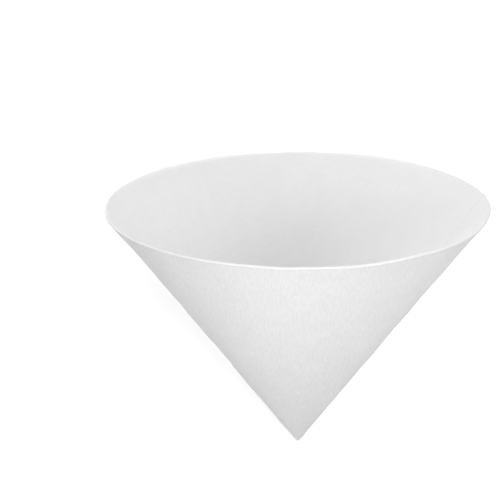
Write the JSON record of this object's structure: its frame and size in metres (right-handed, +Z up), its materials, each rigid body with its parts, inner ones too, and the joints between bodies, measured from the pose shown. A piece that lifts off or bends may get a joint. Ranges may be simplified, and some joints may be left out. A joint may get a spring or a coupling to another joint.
{
  "type": "fryer oil filter cone",
  "caption": "Open white non-woven filter cone for straining fryer oil, folded from one sheet and closed by a crimped seam, lying on its side.",
  "frame": {"origin": "on the floor, under the middle of the cone's box as it lies", "axes": "+X from the tip to the mouth along the strip that the cone lies on, +Y sideways, +Z up; the cone's own axis rises from the tip towards +X and +Z at 36.65 degrees"},
  "size_m": [0.211, 0.254, 0.2028],
  "materials": {
    "filter_paper": "matte"
  },
  "bodies": {
    "root": {"filter_cone": "filter_paper"}
  },
  "joints": []
}
